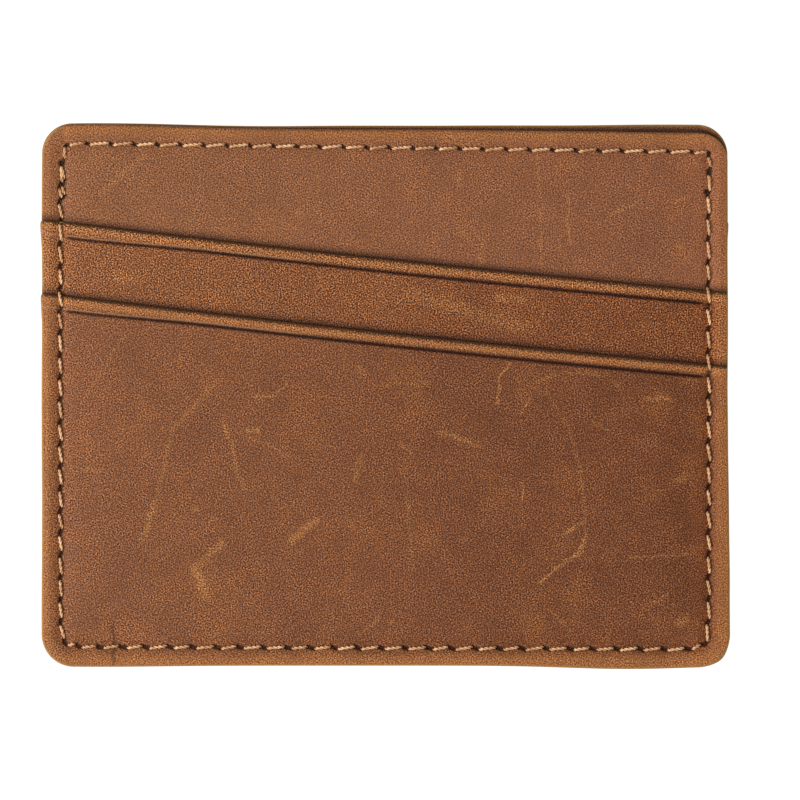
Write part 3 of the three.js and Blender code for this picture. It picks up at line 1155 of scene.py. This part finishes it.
# Each leather's name and seed, its grain's strength, its dye at the left and right (the right's darker as
# painted shade), its marks and nicks
FRONT_LEATHERS = {
    PANEL: ("front_panel_leather", 1, 0.85, (150, 99, 69), (146, 94, 68), PANEL_MARKS, ()),
    UPPER: ("front_upper_leather", 2, 1.4, (146, 92, 60), (129, 76, 49), UPPER_MARKS, ()),
    LOWER: ("front_lower_leather", 3, 1.0, (138, 88, 61), (120, 73, 50), LOWER_MARKS, LOWER_NICKS),
}
BACK_LEATHERS = {
    PANEL: ("back_panel_leather", 4, 0.85, (146, 96, 66), (140, 90, 62), scattered_marks(4, 8, 26, 36), ()),
    UPPER: ("back_upper_leather", 5, 1.2, (142, 90, 58), (134, 82, 52), scattered_marks(5, 6, 10, 20), ()),
    LOWER: ("back_lower_leather", 6, 1.0, (134, 84, 57), (128, 78, 53), scattered_marks(6, 22, -34, 9), ()),
}


def face_looks(face, leathers, shared):
    """Every material of one face: its own three leathers and what both faces share."""
    made = dict(shared)
    for layer, (name, seed, *look) in leathers.items():
        nodes = Leather(name, seed, panel=layer == PANEL, mirrored=face["turned"])
        made[layer] = leather_material(nodes, *look)
    return made


def lower_mouth(x):
    return mouth_height(x) - POCKET_SPACING


def nowhere(_):
    """Nothing covers the lower pocket, so the whole of its sides shows."""
    return BOTTOM


def panel_outline(face, inset, fine):
    """A panel's outline, or that of a cloth cut an inset smaller."""

    def top(x):
        return panel_top(face, x) - inset

    radius = max(TOP_RADIUS - inset, CLOTH_CORNER)
    half = PANEL_HALF - inset
    return Outline(half, BOTTOM + inset, top, radius, mouth_height, fine, face["turned"])


def laid_cloth(face, layer, inset, look):
    """A cloth cut to the panel's outline less an inset, laid on another piece."""
    made = cloth(face, layer, panel_outline(face, inset, COARSE), look)
    return made


def hem_threads(face, holes, shown, look):
    """The needle thread of a panel's top row, and the bobbin thread inside the wallet."""

    def outside(x, y):
        return float(shown_height(face, (PANEL,), x, y))

    def inside(x, y):
        return -float(levels(face, -x, y)["lining"][0])

    node = f"{face['name']}_hem_needle_thread"
    thread(f"{node}_plies", node, face, holes, shown, outside, NEEDLE_RISE, look)
    node = f"{face['name']}_hem_bobbin_thread"
    turned = dict(face, turned=not face["turned"])
    mirrored = [[Vector((-spot.x, spot.y)) for spot in ends] for ends in shown]
    holes = across_the_body(holes)
    thread(f"{node}_plies", node, turned, holes, mirrored, inside, INNER_RISE, look, INNER_SIZE)


def build_face(face, holes, hem_holes, hem_shown, looks):
    """Every piece of one face apart from the perimeter thread."""
    shape = (FINE, face["turned"], MOUTH_FLARE)
    upper_outline = Outline(UPPER_HALF, BOTTOM, mouth_height, MOUTH_CORNER, lower_mouth, *shape)
    lower_outline = Outline(LOWER_HALF, BOTTOM, lower_mouth, MOUTH_CORNER, nowhere, *shape)
    panel = leather(face, PANEL, panel_outline(face, 0, FINE), holes, looks[PANEL])
    leather(face, UPPER, upper_outline, holes, looks[UPPER])
    leather(face, LOWER, lower_outline, holes, looks[LOWER])
    interlining = laid_cloth(face, "interlining", INTERLINING_INSET, looks["interlining"])
    laid_cloth(face, "lining", LINING_INSET, looks["lining"])
    hem_threads(face, hem_holes, hem_shown, looks["thread"])


def seam_thread(kind, face, holes, shown, rise, look):
    """The perimeter seam's needle thread, on the front, or its bobbin thread, on the back."""

    def surface(x, y):
        return float(shown_height(face, (PANEL, UPPER, LOWER), x, y))

    thread(f"{kind}_thread_plies", f"perimeter_{kind}_thread", face, holes, shown, surface, rise, look)


thread_look = thread_material()
shared_looks = {
    "thread": thread_look,
    "lining": lining_material(),
    "interlining": interlining_material(),
}
front_looks = face_looks(FRONT, FRONT_LEATHERS, shared_looks)
back_looks = face_looks(BACK, BACK_LEATHERS, shared_looks)

seam_shown = stitches(PERIMETER, 11)
hem_front_shown = stitches(FRONT_HEM, 12)
hem_back_shown = stitches(BACK_HEM, 13)
back_perimeter = across_the_body(PERIMETER)
back_seam_shown = stitches(back_perimeter, 14)

front_rows = [(PERIMETER, seam_shown, HOLE_RADIUS), (FRONT_HEM, hem_front_shown, HEM_HOLE_RADIUS)]
back_rows = [(back_perimeter, back_seam_shown, HOLE_RADIUS), (BACK_HEM, hem_back_shown, HEM_HOLE_RADIUS)]
build_face(FRONT, slits(front_rows) + worn_holes(WORN), FRONT_HEM, hem_front_shown, front_looks)
build_face(BACK, slits(back_rows), BACK_HEM, hem_back_shown, back_looks)
seam_thread("needle", FRONT, PERIMETER, seam_shown, NEEDLE_RISE, thread_look)
seam_thread("bobbin", BACK, back_perimeter, back_seam_shown, BOBBIN_RISE, thread_look)

# ---- Camera, light and floor ----

LENS = 200
SENSOR = 36
VIEW_WIDTH = 118.3  # how much of the front face's plane the picture spans
CAMERA_X = 2.255
CAMERA_Y = -0.7025
AROUND = 0.52  # strength of the light from all around
KEY_AT = (-0.72, -0.18, 0.62)  # in metres
KEY_SIZE = 0.5
KEY_POWER = 10.4
TABLE_REACH = 3.0
TABLE_DROP = 0.0002  # keeps the table just clear of the leather


def add_camera():
    data = bpy.data.cameras.new("camera")
    data.lens = LENS
    data.sensor_width = SENSOR
    data.dof.use_dof = False
    data.clip_start = 0.01
    data.clip_end = 20
    camera = linked("camera", data)
    away = VIEW_WIDTH * LENS / SENSOR
    camera.location = Vector((CAMERA_X, CAMERA_Y, 2 * MID + away)) * MM
    bpy.context.scene.camera = camera


def add_softbox(name, location, size, power):
    data = bpy.data.lights.new(name, "AREA")
    data.shape = "SQUARE"
    data.size = size
    data.energy = power
    light = linked(name, data)
    light.location = location
    light.rotation_euler = (-Vector(location)).to_track_quat("-Z", "Y").to_euler()


def add_surroundings():
    """A plain white table and white surroundings, both bright enough to read as pure white."""
    world = bpy.data.worlds.new("surroundings")
    world.use_nodes = True
    world.node_tree.nodes["Background"].inputs["Color"].default_value = (1, 1, 1, 1)
    world.node_tree.nodes["Background"].inputs["Strength"].default_value = AROUND
    bpy.context.scene.world = world
    nodes = Nodes("white_table")
    glow = nodes.add("Emission", {"Color": (1, 1, 1, 1), "Strength": 0.97}).outputs[0]
    matt = nodes.add("BsdfDiffuse", {"Color": (0.12, 0.12, 0.12, 1)}).outputs[0]
    both = nodes.add("AddShader", {0: glow, 1: matt}).outputs[0]
    nodes.add("OutputMaterial", {"Surface": both})
    mesh = bpy.data.meshes.new("table_top")
    corners = [(x * TABLE_REACH, y * TABLE_REACH, 0) for x, y in ((-1, -1), (1, -1), (1, 1), (-1, 1))]
    mesh.from_pydata(corners, [], [(0, 1, 2, 3)])
    mesh.materials.append(nodes.material)
    table = linked("table_top", mesh)
    table.location = (0, 0, -TABLE_DROP)


add_camera()
add_softbox("key", KEY_AT, KEY_SIZE, KEY_POWER)
add_surroundings()
bpy.context.scene.view_settings.view_transform = "Standard"
